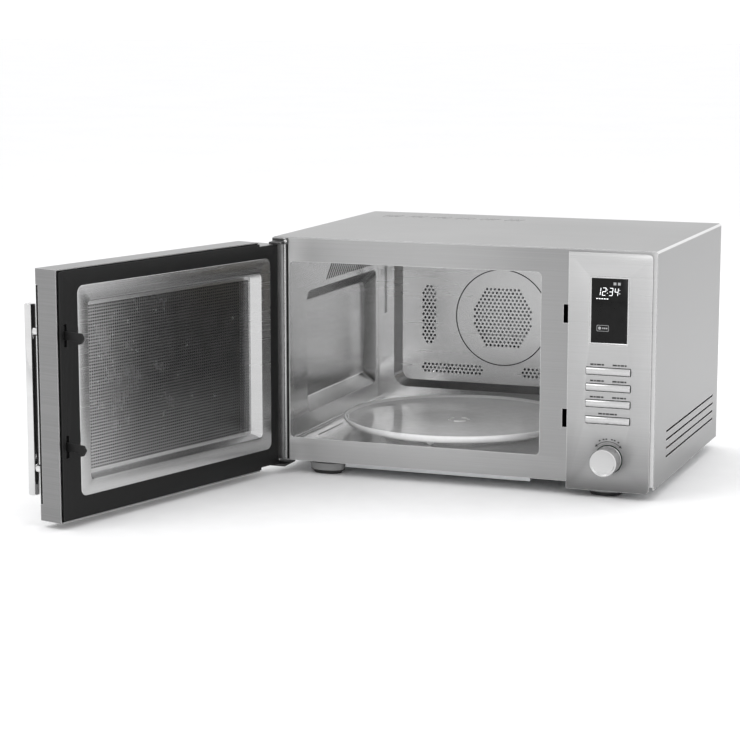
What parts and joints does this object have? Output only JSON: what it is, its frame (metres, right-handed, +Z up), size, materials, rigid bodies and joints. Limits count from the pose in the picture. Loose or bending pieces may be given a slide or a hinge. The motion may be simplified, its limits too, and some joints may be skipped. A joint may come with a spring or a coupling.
{
  "type": "microwave oven",
  "caption": "Countertop combination microwave oven with its side-hung door open, a steel cavity with a glass turntable, and a control strip with display, keys and knob.",
  "frame": {"origin": "middle of the bounding box at rest, door open, at the height of the feet's undersides", "axes": "+Z up, -Y the way the oven's front faces, +X to the right of someone facing the oven"},
  "size_m": [0.6879, 0.8112, 0.317],
  "materials": {
    "brushed_steel": "horizontally brushed",
    "cavity_steel": "satin",
    "dark_steel": "satin",
    "galvanised": "zinc, satin",
    "chrome": "polished",
    "black_plastic": "fine texture",
    "black_glass": "polished",
    "clear_glass": "polished",
    "rubber": "matt",
    "mica": "pressed sheet",
    "copper_iron": "varnished",
    "board_green": "solder mask",
    "white_plastic": "moulded",
    "heater_grey": "oxidised"
  },
  "bodies": {
    "cabinet": {"outer_cover": "brushed_steel", "base_plate": "galvanised", "rear_panel": "galvanised", "foot_front_left": "rubber", "foot_front_right": "rubber", "foot_rear_left": "rubber", "foot_rear_right": "rubber", "front_plate": "brushed_steel", "cavity_shell": "cavity_steel", "cavity_rear_wall": "cavity_steel", "fan_housing": "galvanised", "convection_motor": "dark_steel", "ring_heater": "heater_grey", "grill_heater": "heater_grey", "lamp_guard": "cavity_steel", "oven_lamp": "white_plastic", "waveguide": "galvanised", "waveguide_cover": "mica", "magnetron": "galvanised", "hv_transformer": "copper_iron", "hv_capacitor": "galvanised", "cooling_fan_shroud": "black_plastic", "cooling_fan_motor": "dark_steel", "noise_filter": "board_green", "cord_gland": "black_plastic", "control_panel": "brushed_steel", "display_window": "black_glass", "display_bezel": "chrome", "knob_encoder": "black_plastic", "control_board": "board_green", "latch_bracket": "white_plastic", "interlock_switch_upper": "black_plastic", "interlock_switch_monitor": "black_plastic", "interlock_switch_lower": "black_plastic", "turntable_motor": "galvanised", "hinge_upper": "dark_steel", "hinge_lower": "dark_steel"},
    "door": {"door_shell": "brushed_steel", "door_glass": "black_glass", "door_inner_frame": "black_plastic", "door_screen": "cavity_steel", "handle_bar": "chrome", "handle_post_upper": "chrome", "handle_post_lower": "chrome"},
    "latch": {"door_latch": "black_plastic"},
    "hot_air_fan": {"convection_fan": "galvanised"},
    "cooler": {"cooling_fan": "white_plastic"},
    "key_1": {"button_1": "chrome"},
    "key_2": {"button_2": "chrome"},
    "key_3": {"button_3": "chrome"},
    "key_4": {"button_4": "chrome"},
    "knob": {"selector_knob": "chrome"},
    "turntable": {"turntable_plate": "clear_glass"},
    "coupler": {"turntable_coupler": "white_plastic"},
    "ring": {"roller_ring": "white_plastic"},
    "wheel_1": {"roller_1": "white_plastic"},
    "wheel_2": {"roller_2": "white_plastic"},
    "wheel_3": {"roller_3": "white_plastic"}
  },
  "joints": [
    {"name": "door_hinge", "type": "hinge", "parent": "cabinet", "child": "door", "pos_m": [-0.16968, -0.01082, 0.16], "axis": [0, 0, 1], "range_deg": [-4, 106]},
    {"name": "latch_slide", "type": "slide", "parent": "door", "child": "latch", "axis": [0, 0, 1], "range_m": [0, 0.003], "stiffness_N_per_m": 300, "springref_m": -0.003},
    {"name": "turntable_spin", "type": "hinge", "parent": "cabinet", "child": "turntable", "pos_m": [0.03682, 0.14728, 0.056], "axis": [0, 0, 1], "continuous": true},
    {"name": "coupler_spin", "type": "hinge", "parent": "cabinet", "child": "coupler", "pos_m": [0.03682, 0.14728, 0.05], "axis": [0, 0, 1], "continuous": true},
    {"name": "ring_spin", "type": "hinge", "parent": "cabinet", "child": "ring", "pos_m": [0.03682, 0.14728, 0.0491], "axis": [0, 0, 1], "continuous": true},
    {"name": "roller_1_spin", "type": "hinge", "parent": "ring", "child": "wheel_1", "pos_m": [0.13467, 0.20074, 0.0491], "axis": [0.8776, 0.4794, 0], "continuous": true},
    {"name": "roller_2_spin", "type": "hinge", "parent": "ring", "child": "wheel_2", "pos_m": [-0.0584, 0.20529, 0.0491], "axis": [-0.854, 0.5203, 0], "continuous": true},
    {"name": "roller_3_spin", "type": "hinge", "parent": "ring", "child": "wheel_3", "pos_m": [0.03419, 0.03581, 0.0491], "axis": [-0.0236, -0.9997, 0], "continuous": true},
    {"name": "hot_air_fan_spin", "type": "hinge", "parent": "cabinet", "child": "hot_air_fan", "pos_m": [0.03682, 0.35728, 0.1725], "axis": [0, 1, 0], "continuous": true},
    {"name": "cooling_fan_spin", "type": "hinge", "parent": "cabinet", "child": "cooler", "pos_m": [0.26982, 0.36428, 0.205], "axis": [0, 1, 0], "continuous": true},
    {"name": "knob_turn", "type": "hinge", "parent": "cabinet", "child": "knob", "pos_m": [0.28632, -0.01772, 0.0506], "axis": [0, -1, 0], "continuous": true},
    {"name": "key_1_rock", "type": "hinge", "parent": "cabinet", "child": "key_1", "pos_m": [0.28452, -0.00072, 0.1631], "axis": [0, 0, 1], "range_deg": [-1.6, 1.6], "stiffness_Nm_per_rad": 0.6},
    {"name": "key_2_rock", "type": "hinge", "parent": "cabinet", "child": "key_2", "pos_m": [0.28452, -0.00072, 0.1423], "axis": [0, 0, 1], "range_deg": [-1.6, 1.6], "stiffness_Nm_per_rad": 0.6},
    {"name": "key_3_rock", "type": "hinge", "parent": "cabinet", "child": "key_3", "pos_m": [0.28452, -0.00072, 0.1216], "axis": [0, 0, 1], "range_deg": [-1.6, 1.6], "stiffness_Nm_per_rad": 0.6},
    {"name": "key_4_press", "type": "slide", "parent": "cabinet", "child": "key_4", "axis": [0, 1, 0], "range_m": [0, 0.0012], "stiffness_N_per_m": 500}
  ],
  "couplings": [
    {"joint": "coupler_spin", "follows": "turntable_spin", "ratio": 1},
    {"joint": "ring_spin", "follows": "turntable_spin", "ratio": 0.5},
    {"joint": "roller_1_spin", "follows": "turntable_spin", "ratio": -12.12},
    {"joint": "roller_2_spin", "follows": "turntable_spin", "ratio": -12.12},
    {"joint": "roller_3_spin", "follows": "turntable_spin", "ratio": -12.12}
  ]
}
